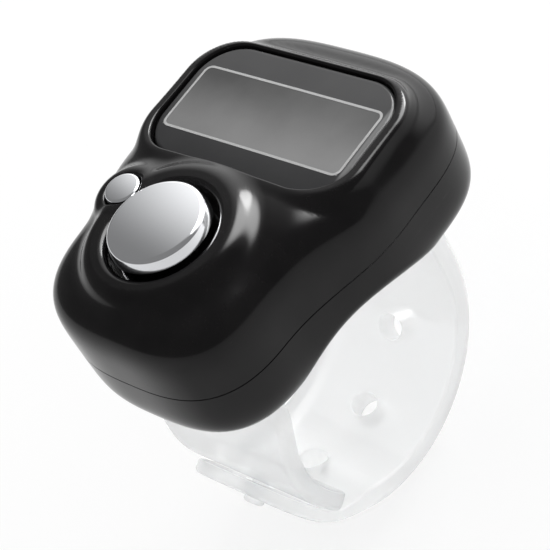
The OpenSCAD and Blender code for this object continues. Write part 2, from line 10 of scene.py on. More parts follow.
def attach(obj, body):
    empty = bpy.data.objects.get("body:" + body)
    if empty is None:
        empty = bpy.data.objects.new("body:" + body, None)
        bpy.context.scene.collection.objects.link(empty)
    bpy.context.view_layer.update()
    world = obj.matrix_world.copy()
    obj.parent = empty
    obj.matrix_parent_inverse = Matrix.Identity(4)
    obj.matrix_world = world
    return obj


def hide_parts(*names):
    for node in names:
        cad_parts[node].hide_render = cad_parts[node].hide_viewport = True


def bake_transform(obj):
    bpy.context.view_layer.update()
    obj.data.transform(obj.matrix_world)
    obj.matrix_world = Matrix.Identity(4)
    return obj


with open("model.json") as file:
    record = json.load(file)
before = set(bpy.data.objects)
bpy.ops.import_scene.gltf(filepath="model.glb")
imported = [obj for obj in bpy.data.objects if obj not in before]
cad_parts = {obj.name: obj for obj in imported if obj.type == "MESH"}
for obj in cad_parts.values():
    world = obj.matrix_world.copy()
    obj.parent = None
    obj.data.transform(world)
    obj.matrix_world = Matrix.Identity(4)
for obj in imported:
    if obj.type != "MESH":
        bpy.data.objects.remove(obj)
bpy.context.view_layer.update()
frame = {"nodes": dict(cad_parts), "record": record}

nodes = frame["nodes"]
MM = 0.001      # shapes are in millimetres until a mesh is built

# Housing: two squarish blocks blended into one, a raised rim round the window, a collar round
# each button, and an arch cut out from below for the finger.
DISPLAY_END = ((0, 9.15, 15.7), (13.8, 10.25, 6.6), 3.1, 5.2)   # middle, half sizes, powers across and up
BUTTON_END = ((0, -6.7, 16.4), (11.1, 10.3, 7.3), 2.9, 5.1)
END_BLEND, RIM_BLEND, COLLAR_BLEND, COLLARS_BLEND, ARCH_BLEND = 5.2, 1.6, 1.8, 0.8, 1.8
ARCH_R = 11.9
WALL = 1.2
SEAM = 16.3                                     # height of the parting line
SEAM_POINTS = 420
SEAM_ROUND = 0.07
SIGHT = np.array([0.0, -2.5, 17.0])             # point inside that sees all of the skin
OUTER_STEP, INNER_STEP = 0.0125, 0.05           # finest grid of each skin, as angles from the sight
CORE_Z = 16.0                                   # rim and collars reach down to this height
COUNT = np.array([0.0, -6.7])
RESET = np.array([-6.75, -4.15])
COUNT_COLLAR = (7.35, 24.95, 0.95)              # radius, top, rounding
RESET_COLLAR = (2.75, 24.4, 0.5)
COUNT_HOLE, COUNT_BORE = 5.1, 4.65
RESET_HOLE = 1.8
TUBES = ((COUNT, 6.3), (RESET, 2.6))            # solid round each button, from TUBE_Z up
TUBE_Z, TUBE_LEDGE_Z = 21.6, 22.6
RIM = (12.3, 7.15, 4.6)                         # half width, half length, corner radius
RIM_TOP, RIM_ROUND = 23.22, 0.45
SHELF_Z, LENS_SEAT_Z = 21.0, 21.9               # solid under the lens from SHELF_Z up
LENS_POCKET = (11.52, 6.97, 4.62)               # rim of the pocket, with its rounding
LENS_BORE = (10.5, 5.0, 0.8)
SLOTS = ((12.634, 1.37), (-10.568, 1.02))       # middle along Y and half width of each strap slot
SEAT_W, SEAT_WALL, SEAT_Z, SLOT_LEDGE_Z = 9.4, 1.28, 11.6, 10.9
SCREWS = (-13.9, 15.85)                         # case screws along Y
BOSS_R, BOSS_Z, SCREW_LEDGE_Z = 1.7, 12.6, 11.2

# Lens and its printed line
LENS_X, LENS_Y, LENS_Z = 11.2, 8.2, 23.1        # half width, middle, top
LENS_HALF_L, LENS_CORNER, LENS_ROUND = 6.65, 4.2, 0.45
LENS_FOOT = 22.1
CROWN = 0.06                                    # how far the top falls towards each edge
LINE_Y = LENS_Y - 0.12
LINE = (10.35, 3.74, 0.8)                       # half width, half length, corner radius
LINE_W, LINE_H = 0.24, 0.02
AREA_X, AREA_Y = 10.2, 3.6                      # half sizes of the display area, up to under the line

# Straps
LOOP_R = 11.4                                   # inside of the finger loop
REAR_T, TAIL_T, FRONT_T = 1.25, 0.65, 0.9       # half thicknesses
STRAP_W, TAIL_W = 8.0, 7.0                      # half widths
TAIL_R = 14.0                                   # middle of the tail, outside the front strap
RISE_A, RISE_END_A = -121, -140                 # angles between which the rear strap rises and thins
STUD_A = -155.0                                 # angle of the stud round the loop
HOLES_A = (-41, -81, -121)                      # the holes besides the stud's
HOLE_R, HOLE_ROUND = 1.35, 0.22
ROOT_ROUND, ROOT_GROWTH = 0.26, 0.4             # edge rounding at the root, and its growth along the strap
HOOK, HOOK_L = 0.85, 0.95                       # height and length of the hook moulded on each root


def smin(a, b, k):
    """Smaller of two values, blended over a width of k."""
    h = np.clip(0.5 + 0.5 * (b - a) / k, 0, 1)
    return b * (1 - h) + a * h - k * h * (1 - h)


def smax(a, b, k):
    return -smin(-a, -b, k)


def smooth(t):
    """Eased step from 0 to 1."""
    t = np.clip(t, 0, 1)
    return t * t * (3 - 2 * t)


def block(P, middle, half, plan, upright):
    """Squarish rounded block: about the distance to its surface, below 0 inside."""
    q = np.abs((P - np.array(middle)) / half) + 1e-9
    flat = (q[:, 0] ** plan + q[:, 1] ** plan) ** (upright / plan)
    return ((flat + q[:, 2] ** upright) ** (1 / upright) - 1) * min(half)


def corner(a, b, r):
    """Inside both a and b, with the edge between them rounded."""
    return np.minimum(np.maximum(a + r, b + r), 0) + np.hypot(np.maximum(a + r, 0), np.maximum(b + r, 0)) - r


def from_middle(P, c):
    return np.hypot(P[:, 0] - c[0], P[:, 1] - c[1])


def collar(P, c, r, top, rnd):
    """Round collar that stands on the housing."""
    return np.maximum(corner(from_middle(P, c) - r, P[:, 2] - top, rnd), CORE_Z - P[:, 2])


def rim_plan(P):
    """Outline of the window rim, seen from above."""
    half_w, half_l, r = RIM
    return corner(np.abs(P[:, 0]) - half_w, np.abs(P[:, 1] - LENS_Y) - half_l, r)


def housing(P, depth=0.0, collars=True):
    """Below 0 inside the housing, above 0 outside. depth sets the walls back."""
    ends = [block(P, middle, np.array(half) - depth, plan, upright)
            for middle, half, plan, upright in (DISPLAY_END, BUTTON_END)]
    rim = np.maximum(corner(rim_plan(P), P[:, 2] - RIM_TOP, RIM_ROUND), CORE_Z - P[:, 2])
    s = smin(smin(*ends, END_BLEND), rim + depth, RIM_BLEND)
    if collars:
        both = smin(collar(P, COUNT, *COUNT_COLLAR), collar(P, RESET, *RESET_COLLAR), COLLARS_BLEND)
        s = smin(s, both, COLLAR_BLEND)
    return smax(s, ARCH_R + depth - np.hypot(P[:, 1], P[:, 2]), ARCH_BLEND)


def leave(s, *walls):
    """Cavity s without the solid that lies inside all the walls."""
    return np.maximum(s, -np.maximum(*walls))


def inside_top(P):
    """Cavity of the top cover, with the window shelf and the button tubes left solid."""
    s = leave(housing(P, WALL, False), rim_plan(P), SHELF_Z - P[:, 2])
    for c, r in TUBES:
        s = leave(s, from_middle(P, c) - r, TUBE_Z - P[:, 2])
    return s


def inside_bottom(P):
    """Cavity of the bottom cover, with the strap seats and the screw bosses left solid."""
    s = housing(P, WALL, False)
    for y, half in SLOTS:
        seat = np.maximum(np.abs(P[:, 0]) - SEAT_W, np.abs(P[:, 1] - y) - half - SEAT_WALL)
        s = leave(s, seat, P[:, 2] - SEAT_Z)
    for y in SCREWS:
        s = leave(s, from_middle(P, (0, y)) - BOSS_R, P[:, 2] - BOSS_Z)
    return s


def unit(v):
    return v / np.linalg.norm(v, axis=1, keepdims=True)


def gradient(f, P, e=0.01):
    """Unit directions in which f grows fastest."""
    g = np.empty_like(P)
    for k in range(3):
        d = np.zeros(3)
        d[k] = e
        g[:, k] = f(P + d) - f(P - d)
    return g / (np.linalg.norm(g, axis=1, keepdims=True) + 1e-12)


def first_crossing(f, origin, dirs, reach=30.0, step=0.25, halvings=22):
    """Points where f first turns positive along each direction."""
    n = len(dirs)
    origin = np.broadcast_to(origin, (n, 3))
    t = np.full(n, step)
    live = np.arange(n)
    while len(live) and t[live].max() < reach:
        out = f(origin[live] + dirs[live] * t[live, None]) > 0
        live = live[~out]
        t[live] += step
    lo, hi = t - step, t.copy()
    for _ in range(halvings):
        mid = (lo + hi) / 2
        out = f(origin + dirs * mid[:, None]) > 0
        hi = np.where(out, mid, hi)
        lo = np.where(out, lo, mid)
    return origin + dirs * ((lo + hi) / 2)[:, None]


def run_length(q):
    """Length along a line up to each of its points."""
    return np.r_[0, np.cumsum(np.linalg.norm(np.diff(q, axis=0), axis=1))]


def ring_angles(n):
    return np.linspace(0, 2 * math.pi, n, endpoint=False)


def circle(c, r, n):
    """Points of a circle and their outward directions."""
    a = ring_angles(n)
    out = np.c_[np.cos(a), np.sin(a)]
    return np.array(c) + out * r, out


def eased_circle(c, r, rnd, other, least, half, n):
    """Rim of a round hole whose rounding eases off to least on the side of another hole, within half
    degrees either way and back to full at twice that. Returns the rim and the roundings."""
    _, out = circle(c, r, n)
    aim = math.atan2(other[1] - c[1], other[0] - c[0])
    off = np.degrees(np.abs((np.arctan2(out[:, 1], out[:, 0]) - aim + math.pi) % (2 * math.pi) - math.pi))
    rnd = least + (rnd - least) * smooth((off - half) / half)
    return (np.array(c) + out * (r + rnd)[:, None], out), rnd[:, None]


def round_rect(c, half_w, half_l, r, n):
    """n evenly spaced points round a rectangle with round corners, and their outward directions."""
    fine, out = [], []
    for k, (sx, sy) in enumerate(((1, 1), (-1, 1), (-1, -1), (1, -1))):
        for i in range(41):
            a = math.pi / 2 * (k + i / 40)
            fine.append((sx * (half_w - r) + r * math.cos(a), sy * (half_l - r) + r * math.sin(a)))
            out.append((math.cos(a), math.sin(a)))
    fine, out = np.array(fine + fine[:1]), np.array(out + out[:1])
    s = run_length(fine)
    u = np.linspace(0, s[-1], n, endpoint=False) + s[-1] / n / 2
    q, d = (np.c_[np.interp(u, s, v[:, 0]), np.interp(u, s, v[:, 1])] for v in (fine, out))
    return q + np.array(c), unit(d)


def inside_polygon(q, poly):
    x, y = q[:, 0], q[:, 1]
    hit = np.zeros(len(q), bool)
    for (x0, y0), (x1, y1) in zip(poly, np.roll(poly, -1, axis=0)):
        if y0 == y1:
            continue
        c = (y0 > y) != (y1 > y)
        hit ^= c & (x < (x1 - x0) * (y - y0) / (y1 - y0) + x0)
    return hit


def inside_all(q, outer, holes):
    """Whether each point is inside outer and outside all holes."""
    ok = inside_polygon(q, outer)
    for h in holes:
        ok &= ~inside_polygon(q, h)
    return ok


def gap_to(q, ring):
    """Distance from each point to the nearest point of a ring."""
    return np.min(np.linalg.norm(q[:, None] - ring[None], axis=2), axis=1)


class Mesh:
    """Collects rings and sheets of points with their own normals, and makes one object."""

    def __init__(self):
        self.v, self.f, self.n, self.count = [], [], [], 0

    def points(self, P):
        """Adds points and returns their ids."""
        self.v.append(np.asarray(P, float))
        self.count += len(P)
        return np.arange(self.count - len(P), self.count)

    def copies(self, ids):
        """Adds the points with these ids once more, for a face with a sharp edge."""
        return self.points(np.vstack(self.v)[ids])

    def face(self, ids, normals):
        self.f.append(tuple(int(i) for i in ids))
        self.n.extend(tuple(x) for x in normals)

    def strip(self, a, b, na, nb):
        """Quads from closed ring a to closed ring b, facing the way the normals do."""
        V = np.vstack(self.v)
        n = len(a)
        flip = None
        for i in range(n):
            j = (i + 1) % n
            ids, nor = [a[i], a[j], b[j], b[i]], [na[i], na[j], nb[j], nb[i]]
            if flip is None:
                g = np.cross(V[a[j]] - V[a[i]], V[b[i]] - V[a[i]])
                flip = np.dot(g, np.mean(nor, axis=0)) < 0
            if flip:
                ids, nor = ids[::-1], nor[::-1]
            self.face(ids, nor)

    def sheet(self, P, ids, N, triangles):
        """Triangles between points P, known here as ids, facing the way their normals N do."""
        a, b, c = (P[triangles[:, k]] for k in range(3))
        facing = (np.cross(b - a, c - a) * N[triangles].mean(axis=1)).sum(axis=1)
        for t, f in zip(triangles, facing):
            if f <= 0:
                t = t[::-1]
            self.face(ids[t], N[t])

    def build(self, name, material):
        V = np.vstack(self.v) * MM
        used = sorted(set(i for f in self.f for i in f))
        where = {i: k for k, i in enumerate(used)}
        me = bpy.data.meshes.new(name)
        me.from_pydata([tuple(V[i]) for i in used], [], [tuple(where[i] for i in f) for f in self.f])
        for p in me.polygons:
            p.use_smooth = True
        me.normals_split_custom_set([tuple(n) for n in self.n])
        me.update()
        me.materials.append(material)
        ob = bpy.data.objects.new(name, me)
        bpy.context.scene.collection.objects.link(ob)
        return ob


def sheet_cdt(outer, holes, inner_points):
    """Triangles over the area inside outer and outside holes. Returns all points, the triangles, and
    where the points of outer and then of each hole are among the points."""
    verts, edges = [], []
    for ring in [outer] + list(holes):
        k, n = len(verts), len(ring)
        verts += [tuple(p) for p in ring]
        edges += [(k + i, k + (i + 1) % n) for i in range(n)]
    fixed = len(verts)
    verts += [tuple(p) for p in inner_points]
    out = delaunay_2d_cdt([Vector(v) for v in verts], edges, [], 0, 1e-9)
    q = np.array([tuple(v) for v in out[0]])
    tri = np.array(out[2], int)
    first = {o: i for i, src in enumerate(out[3]) for o in src}
    order = np.array([first[i] for i in range(fixed)])
    # rounding leaves slivers without area along straight borders
    ab, ac = q[tri[:, 1]] - q[tri[:, 0]], q[tri[:, 2]] - q[tri[:, 0]]
    sliver = 1e-5 * ((ab ** 2).sum(axis=1) + (ac ** 2).sum(axis=1))
    keep = inside_all(q[tri].mean(axis=1), np.asarray(outer), holes)
    keep &= np.abs(ab[:, 0] * ac[:, 1] - ab[:, 1] * ac[:, 0]) > sliver
    return q, tri[keep], order


def dome(P, up):
    """Direction from the sight as a point of a flat disc, measured from +Z or -Z."""
    d = unit(P - SIGHT)
    polar_a = np.arccos(np.clip(d[:, 2] * up, -1, 1))
    a = np.arctan2(d[:, 1], d[:, 0])
    return np.c_[polar_a * np.cos(a), polar_a * np.sin(a)]


def undome(q, up):
    """Direction from the sight for each point of the flat disc."""
    polar_a = np.linalg.norm(q, axis=1)
    a = np.arctan2(q[:, 1], q[:, 0])
    return np.c_[np.sin(polar_a) * np.cos(a), np.sin(polar_a) * np.sin(a), up * np.cos(polar_a)]


def lattice(f, up, outer, holes, want, fine, levels):
    """Grid points of several densities inside outer and outside holes; want(P) is the spacing in mm."""
    k = int((np.abs(outer).max() + fine) / fine) + 1
    i, j = (g.ravel() for g in np.meshgrid(np.arange(-k, k + 1), np.arange(-k, k + 1)))
    q = np.c_[i, j] * fine
    ok = inside_all(q, outer, holes)
    i, j, q = i[ok], j[ok], q[ok]
    P = first_crossing(f, SIGHT, undome(q, up))
    t = np.linalg.norm(P - SIGHT, axis=1)
    slant = np.clip((gradient(f, P, 0.05) * (P - SIGHT) / t[:, None]).sum(axis=1), 0.3, 1)
    level = np.clip(np.floor(np.log2(want(P) / (fine * t / slant))), 0, levels)
    step = 2 ** level.astype(int)
    ok = (i % step == 0) & (j % step == 0)
    q, P = q[ok], P[ok]
    ring = first_crossing(f, SIGHT, undome(np.vstack([outer] + list(holes)), up))
    tree = kdtree.KDTree(len(ring))
    for n, r in enumerate(ring):
        tree.insert(r, n)
    tree.balance()
    near = np.array([tree.find(p)[2] for p in P])
    return q[near > 0.4 * want(P)]


def on_surface(f, xy, up):
    """Points of the surface over plan points, reached along Z from inside."""
    start = np.c_[xy, np.full(len(xy), SIGHT[2])]
    return first_crossing(f, start, np.tile([0.0, 0.0, up], (len(xy), 1)), reach=14.0, step=0.1)


def seam_ring(f, z):
    """Ring of points where the surface passes height z."""
    a = ring_angles(SEAM_POINTS)
    return first_crossing(f, np.array([SIGHT[0], SIGHT[1], z]), np.c_[np.cos(a), np.sin(a), 0 * a])


def edge_round(mesh, ids, P, N, inward, down, r, steps):
    """Rounds from ring P on the surface over an edge. Returns the new ring's ids and points."""
    for k in range(1, steps + 1):
        a = math.pi / 2 * k / steps
        Q = P + inward * r * math.sin(a) + down * r * (1 - math.cos(a))
        nor = -down * math.cos(a) + inward * math.sin(a)
        new = mesh.points(Q)
        mesh.strip(ids, new, N, nor)
        ids, N = new, nor
    return ids, Q


def even(value):
    """The same value for every point."""
    return lambda P: np.full(len(P), value)


def cover(name, up, f_out, f_in, openings, want):
    """One moulded cover: outer skin, inner skin, seam face and the walls of its openings. Each
    opening is its rim outside, its bore inside, its rounding and the height of its floor."""
    m = Mesh()
    down = np.array([0, 0, -float(up)])

    def skin(f, rings, spacing, fine, levels, sign):
        """Sheet over one side of the wall. Returns its border's points and normals."""
        flat = [dome(r, up) for r in rings]
        extra = lattice(f, up, flat[0], flat[1:], spacing, fine, levels)
        q, tri, order = sheet_cdt(flat[0], flat[1:], extra)
        P = first_crossing(f, SIGHT, undome(q, up))
        P[order] = np.vstack(rings)
        N = gradient(f, P) * sign
        ids = m.points(P)
        m.sheet(P, ids, N, tri)
        return ids[order], N[order]

    outer, inner = seam_ring(f_out, SEAM + up * SEAM_ROUND), seam_ring(f_in, SEAM)
    rims = [on_surface(f_out, rim[0], up) for rim, _, _, _ in openings]
    bores = [on_surface(f_in, bore[0], up) for _, bore, _, _ in openings]
    out_ids, out_N = skin(f_out, [outer] + rims, want, OUTER_STEP, 2, 1)
    in_ids, _ = skin(f_in, [inner] + bores, even(1.0), INNER_STEP, 1, -1)

    n = SEAM_POINTS
    radial = unit((outer - inner) * (1, 1, 0))
    downs = np.tile(down, (n, 1))
    ids, _ = edge_round(m, out_ids[:n], outer, out_N[:n], -radial, downs, SEAM_ROUND, 2)
    m.strip(ids, in_ids[:n], downs, downs)

    k = SEAM_POINTS
    for (rim, bore, rnd, floor), top in zip(openings, rims):
        n = len(top)
        here = slice(k, k + n)
        inward, downs = np.c_[-rim[1], np.zeros(n)], np.tile(down, (n, 1))
        ids, Q = edge_round(m, out_ids[here], top, out_N[here], inward, downs, rnd, 5)
        Q = np.c_[Q[:, :2], np.full(n, floor)]
        foot = m.points(Q)
        m.strip(ids, foot, inward, inward)
        if not np.allclose(Q[:, :2], bore[0]):
            ledge = m.points(np.c_[bore[0], np.full(n, floor)])
            m.strip(m.copies(foot), ledge, -downs, -downs)
            foot = ledge
        wall = np.c_[-bore[1], np.zeros(n)]
        m.strip(m.copies(foot), in_ids[here], wall, wall)
        k += n
    return m.build(name, black)


def math_node(t, op, a, b=None):
    n = t.nodes.new("ShaderNodeMath")
    n.operation = op
    for i, v in enumerate((a, b)):
        if isinstance(v, (int, float)):
            n.inputs[i].default_value = v
        elif v is not None:
            t.links.new(v, n.inputs[i])
    return n.outputs[0]


def fade(t, value, a, b, v0=0.0, v1=1.0, curve="SMOOTHSTEP"):
    """Value that goes from v0 to v1 as another goes from a to b."""
    n = t.nodes.new("ShaderNodeMapRange")
    n.interpolation_type = curve
    for k, v in (("From Min", a), ("From Max", b), ("To Min", v0), ("To Max", v1)):
        n.inputs[k].default_value = v
    t.links.new(value, n.inputs["Value"])
    return n.outputs["Result"]


def ramp_node(t, fac, *stops):
    n = t.nodes.new("ShaderNodeValToRGB")
    for e, (pos, c) in zip(n.color_ramp.elements, stops):
        e.position, e.color = pos, (*c, 1)
    t.links.new(fac, n.inputs[0])
    return n.outputs["Color"]


def blend_colour(t, fac, a, b):
    n = t.nodes.new("ShaderNodeMix")
    n.data_type = "RGBA"
    t.links.new(fac, n.inputs["Factor"])
    for k, v in (("A", a), ("B", b)):
        if isinstance(v, tuple):
            n.inputs[k].default_value = (*v, 1)
        else:
            t.links.new(v, n.inputs[k])
    return n.outputs["Result"]


def grey(v):
    return (v, v, v)


def object_noise(t, scale, detail):
    """Noise in the object's own coordinates. Returns the coordinates and the noise."""
    co = t.nodes.new("ShaderNodeTexCoord")
    n = t.nodes.new("ShaderNodeTexNoise")
    n.inputs["Scale"].default_value = scale
    n.inputs["Detail"].default_value = detail
    t.links.new(co.outputs["Object"], n.inputs["Vector"])
    return co.outputs["Object"], n.outputs["Fac"]


def material(name, **sockets):
    """Principled material. Each socket is named with _ for a space."""
    m = bpy.data.materials.new(name)
    m.use_nodes = True
    b = m.node_tree.nodes["Principled BSDF"]
    for k, v in sockets.items():
        b.inputs[k.replace("_", " ")].default_value = v
    return m, m.node_tree, b


def noise_bump(t, b, scale, strength, distance=0.00005):
    _, fac = object_noise(t, scale, 3)
    bump = t.nodes.new("ShaderNodeBump")
    bump.inputs["Strength"].default_value = strength
    bump.inputs["Distance"].default_value = distance
    t.links.new(fac, bump.inputs["Height"])
    t.links.new(bump.outputs["Normal"], b.inputs["Normal"])
    return fac


def mottled(name, dark, light, scale, rough=0.5, metallic=0.0, bump=0.1, spec=0.5, alpha=1.0):
    """Moulded or plated material whose colour and gloss vary a little over the surface."""
    m, t, b = material(name, Metallic=metallic, Specular_IOR_Level=spec, Alpha=alpha)
    fac = noise_bump(t, b, scale, bump)
    t.links.new(ramp_node(t, fac, (0.3, dark), (0.7, light)), b.inputs["Base Color"])
    t.links.new(fade(t, fac, 0.0, 1.0, rough * 0.85, rough * 1.15, "LINEAR"), b.inputs["Roughness"])
    return m


# Covers
black = mottled("gloss_black_abs", (0.0045, 0.0042, 0.0045), (0.0065, 0.006, 0.0063), 420, 0.15,
                bump=0.02, spec=0.2)


def want_top(P, fine=0.2, coarse=0.42, reach=1.2):
    """Spacing of the top cover's mesh: fine within reach of the collars' edges and the window rim."""
    near = np.minimum(np.abs(from_middle(P, COUNT) - 7.2), np.abs(from_middle(P, RESET) - 2.7))
    near = np.minimum(near, np.abs(rim_plan(P)))
    return np.where((P[:, 2] > 21.5) & (near < reach), fine, coarse)


def slot_opening(y, half, half_w=8.12, corner_r=0.2, rnd=0.25):
    return (round_rect((0, y), half_w + rnd, half + rnd, corner_r + rnd, 180),
            round_rect((0, y), half_w, half, corner_r, 180), rnd, SLOT_LEDGE_Z)


def screw_opening(y, head=1.15, shank=0.8, rnd=0.2):
    return circle((0, y), head + rnd, 64), circle((0, y), shank, 64), rnd, SCREW_LEDGE_Z


count_rim, count_round = eased_circle(COUNT, COUNT_HOLE, 0.7, RESET, 0.15, 18, 180)
reset_rim, reset_round = eased_circle(RESET, RESET_HOLE, 0.35, COUNT, 0.1, 45, 96)
top = cover("housing_top", 1, housing, inside_top, [
    (round_rect((0, LENS_Y), *LENS_POCKET, 260), round_rect((0, LENS_Y), *LENS_BORE, 260), 0.22, LENS_SEAT_Z),
    (count_rim, circle(COUNT, COUNT_BORE, 180), count_round, TUBE_LEDGE_Z),
    (reset_rim, circle(RESET, RESET_HOLE, 96), reset_round, TUBE_LEDGE_Z)], want_top)
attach(top, "case")
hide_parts("top_cover")

bottom = cover("housing_bottom", -1, housing, inside_bottom,
               [slot_opening(y, half) for y, half in SLOTS] + [screw_opening(y) for y in SCREWS], even(0.45))
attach(bottom, "case")
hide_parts("bottom_cover")


# Turned pieces: a profile is made of stretches of points (r, z, nr, nz)
def arc(cr, cz, r, a0, a1, n):
    """Stretch on an arc. A negative r makes a fillet."""
    a = np.radians(np.linspace(a0, a1, n))
    return [(cr + r * math.cos(t), cz + r * math.sin(t), math.cos(t), math.sin(t)) for t in a]


def flat(r0, z0, r1, z1, side=1):
    """Straight stretch that faces its left-hand side, or its right-hand side with side -1."""
    d = math.hypot(r1 - r0, z1 - z0)
    nr, nz = -(z1 - z0) / d * side, (r1 - r0) / d * side
    return [(r0, z0, nr, nz), (r1, z1, nr, nz)]


def crown(R, top, sag, n=8):
    """Slightly domed face from the middle out to radius R."""
    out = []
    for r in np.linspace(0, R, n):
        slope = 2 * sag * r / R ** 2
        k = math.hypot(1, slope)
        out.append((r, top - sag * (r / R) ** 2, slope / k, 1 / k))
    return out


def lathe(name, stretches, axes, origin, n, material):
    """Solid turned from profile stretches, with its own axes and origin."""
    m = Mesh()
    A = np.array(axes, float)
    ang = ring_angles(n)
    radial = np.cos(ang)[:, None] * A[0] + np.sin(ang)[:, None] * A[1]

    def fan(tip, ring, tip_N, N):
        V = np.vstack(m.v)
        for i in range(n):
            j = (i + 1) % n
            ids, nor = [tip, ring[i], ring[j]], [tip_N, N[i], N[j]]
            if np.dot(np.cross(V[ids[1]] - V[tip], V[ids[2]] - V[tip]), N[i] + N[j]) < 0:
                ids, nor = [tip, ring[j], ring[i]], [tip_N, N[j], N[i]]
            m.face(ids, nor)

    last = None
    for stretch in stretches:
        before = None
        for r, z, nr, nz in stretch:
            nor = radial * nr + A[2] * nz
            if r < 1e-6:
                ids = m.points([origin + A[2] * z])
            elif last is not None and before is None:
                ids = last
            else:
                ids = m.points(origin + radial * r + A[2] * z)
            if before is not None:
                a, na = before
                if len(a) == 1:
                    fan(a[0], ids, A[2] * nz, nor)
                elif len(ids) == 1:
                    fan(ids[0], a, A[2] * nz, na)
                else:
                    m.strip(a, ids, na, nor)
            before = (ids, nor)
            if len(ids) > 1:
                last = ids
    return m.build(name, material)


UP = ((1, 0, 0), (0, 1, 0), (0, 0, 1))
FLANGE_TOP, FLANGE_FOOT, FLANGE_W = 21.5, 20.9, 0.4
KEY_WALL, KEY_ROOF, KEY_STEP = 0.9, 1.05, 0.3
chrome, t, b = material("chrome_plate", Base_Color=(0.80, 0.81, 0.83, 1), Metallic=1.0, Roughness=0.09)
noise_bump(t, b, 260, 0.02)


def key(name, c, R, top, sag, rnd, draft, skirt, hollow, foot_r, foot_z):
    """Domed key with a tapered skirt, a straight lower wall and a flange that keeps it in the case."""
    a = math.radians(draft)
    face_r, z = R - rnd, top - sag - rnd
    edge_r, edge_z = face_r + rnd * math.cos(a), z + rnd * math.sin(a)
    skirt_r, skirt_z = edge_r + skirt * math.tan(a), edge_z - skirt
    wall = [(skirt_r, skirt_z), (R, skirt_z - KEY_STEP), (R, FLANGE_TOP), (R + FLANGE_W, FLANGE_TOP),
            (R + FLANGE_W, FLANGE_FOOT)]
    if hollow:
        wall += [(R - KEY_WALL, FLANGE_FOOT), (R - KEY_WALL, top - KEY_ROOF), (foot_r, top - KEY_ROOF)]
    else:
        wall += [(foot_r, FLANGE_FOOT)]
    wall += [(foot_r, foot_z), (0, foot_z)]
    run = [crown(face_r, top, sag), arc(face_r, z, rnd, 86, draft, 10),
           [(edge_r, edge_z, math.cos(a), math.sin(a)), (skirt_r, skirt_z, math.cos(a), math.sin(a))]]
    run += [flat(*p, *q) for p, q in zip(wall, wall[1:])]
    return lathe(name, run, UP, np.array([*c, 0.0]), 160, chrome)


count_key = key("count_key_cap", COUNT, R=4.5, top=26.4, sag=0.2, rnd=0.45, draft=19, skirt=0.85,
                hollow=True, foot_r=1.8, foot_z=20.65)
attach(count_key, "count_key")
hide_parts("count_button")
reset_key = key("reset_key_cap", RESET, R=1.65, top=25.2, sag=0.05, rnd=0.25, draft=15, skirt=0.3,
                hollow=False, foot_r=1.2, foot_z=20.15)
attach(reset_key, "reset_key")
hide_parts("reset_button")


# Lens and printed line
def lens_top(xy):
    """Height of the gently crowned top of the lens."""
    return LENS_Z - CROWN * (xy[:, 0] / LENS_X) ** 2 - CROWN * ((xy[:, 1] - LENS_Y) / LENS_HALF_L) ** 2


def lens_normal(xy):
    return unit(np.c_[2 * CROWN * xy[:, 0] / LENS_X ** 2, 2 * CROWN * (xy[:, 1] - LENS_Y) / LENS_HALF_L ** 2,
                      np.ones(len(xy))])


def make_lens(rnd=LENS_ROUND, n=260, spacing=0.7):
    """Clear plate with a crowned top, a rounded upper edge and a flat back."""
    m = Mesh()
    base, out = round_rect((0, LENS_Y), LENS_X, LENS_HALF_L, LENS_CORNER, n)
    side = np.c_[out, np.zeros(n)]
    rings = []
    for a in np.radians(np.linspace(90, 0, 9)):
        xy = base - out * rnd * (1 - math.cos(a))
        P = np.c_[xy, lens_top(xy) - rnd * (1 - math.sin(a))]
        rings.append((P, side * math.cos(a) + lens_normal(xy) * math.sin(a)))
    border = rings[0][0][:, :2]
    grid = np.array([(x, y) for x in np.arange(-10.5, 10.6, spacing)
                     for y in np.arange(LENS_Y - 6.1, LENS_Y + 6.2, spacing)])
    ok = inside_polygon(grid, border) & (gap_to(grid, border) > 0.3)
    q, tri, order = sheet_cdt(border, [], grid[ok])

    P = np.c_[q, lens_top(q)]
    ids = m.points(P)
    m.sheet(P, ids, lens_normal(q), tri)
    last, last_N = ids[order], rings[0][1]
    for P, N in rings[1:]:
        new = m.points(P)
        m.strip(last, new, last_N, N)
        last, last_N = new, N
    foot = m.points(np.c_[base, np.full(n, LENS_FOOT)])
    m.strip(last, foot, side, side)
    P = np.c_[q, np.full(len(q), LENS_FOOT)]
    ids = m.points(P)
    down = np.tile([0, 0, -1.0], (len(q), 1))
    m.sheet(P, ids, down, tri)
    m.strip(m.copies(foot), ids[order], down[:n], down[:n])
    return m.build("lens_window", lens_mat)


def make_line(n=240):
    """Raised printed line round the display area, following the lens."""
    m = Mesh()
    loops = []
    for off, up in ((0.0, 0.0), (0.0, LINE_H), (-LINE_W, LINE_H), (-LINE_W, 0.0)):
        xy, out = round_rect((0, LINE_Y), *(v + off for v in LINE), n)
        loops.append(m.points(np.c_[xy, lens_top(xy) + up]))
        if not off:
            over, side = lens_normal(xy), np.c_[out, np.zeros(n)]
    for k, N in enumerate((side, over, -side, -over)):
        m.strip(loops[k], loops[(k + 1) % 4], N, N)
    return m.build("lens_line", print_mat)


